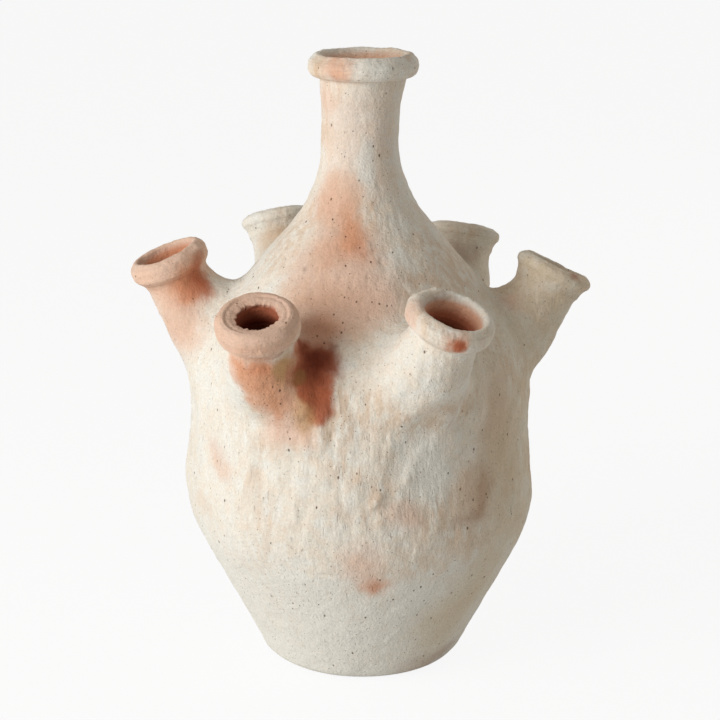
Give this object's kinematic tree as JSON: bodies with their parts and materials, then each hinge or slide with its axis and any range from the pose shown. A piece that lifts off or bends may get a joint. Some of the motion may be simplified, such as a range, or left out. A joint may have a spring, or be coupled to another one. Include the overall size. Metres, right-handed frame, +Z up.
{
  "type": "urn planter",
  "caption": "Hand-made terracotta urn planter with a flat foot, round belly, tall rimmed neck and short rimmed spouts ringed round its shoulder.",
  "frame": {"origin": "centre of the foot's flat face, on the floor", "axes": "+Z up along the neck, -Y towards the viewer of the picture, +X to the viewer's right"},
  "size_m": [0.3819, 0.354, 0.51],
  "materials": {
    "pot_clay": "matt unglazed terracotta under a worn whitewash",
    "spout_clay": "matt unglazed terracotta, wash rubbed through",
    "collar_clay": "matt unglazed terracotta, wash rubbed through on the edges"
  },
  "bodies": {
    "root": {"base_bowl": "pot_clay", "body_wall": "pot_clay", "neck": "pot_clay", "neck_rim": "collar_clay", "spout_left": "spout_clay", "spout_front_left": "spout_clay", "spout_front_right": "spout_clay", "spout_right": "spout_clay", "spout_rear_right": "spout_clay", "spout_rear_left": "spout_clay", "spout_rim_left": "collar_clay", "spout_rim_front_left": "collar_clay", "spout_rim_front_right": "collar_clay", "spout_rim_right": "collar_clay", "spout_rim_rear_right": "collar_clay", "spout_rim_rear_left": "collar_clay"}
  },
  "joints": []
}
